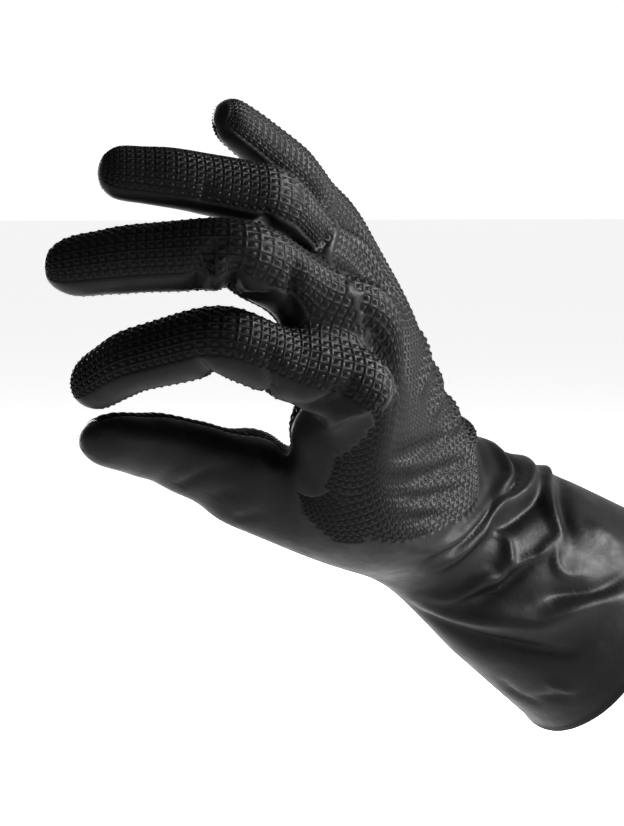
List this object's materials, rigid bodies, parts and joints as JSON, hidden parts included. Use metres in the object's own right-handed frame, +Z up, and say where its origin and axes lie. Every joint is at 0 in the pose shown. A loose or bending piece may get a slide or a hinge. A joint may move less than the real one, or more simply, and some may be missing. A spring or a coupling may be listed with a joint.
{
  "type": "nitrile exam glove",
  "caption": "Hollow nitrile exam glove posed as worn in a pinch, with raised grip texture, smooth finger sides and a loose, creased cuff open at the wrist.",
  "frame": {"origin": "middle of the wrist section inside the glove, where a worn glove is carried by the arm", "axes": "+X horizontally along the forearm towards the open cuff, +Z up as the glove is held, +Y across, so the thumb side faces -Y"},
  "size_m": [0.2174, 0.1035, 0.1821],
  "materials": {
    "nitrile": "satin black nitrile film, raised grip lattice on the palm, back and finger faces"
  },
  "bodies": {
    "root": {"glove_shell": "nitrile"}
  },
  "joints": []
}
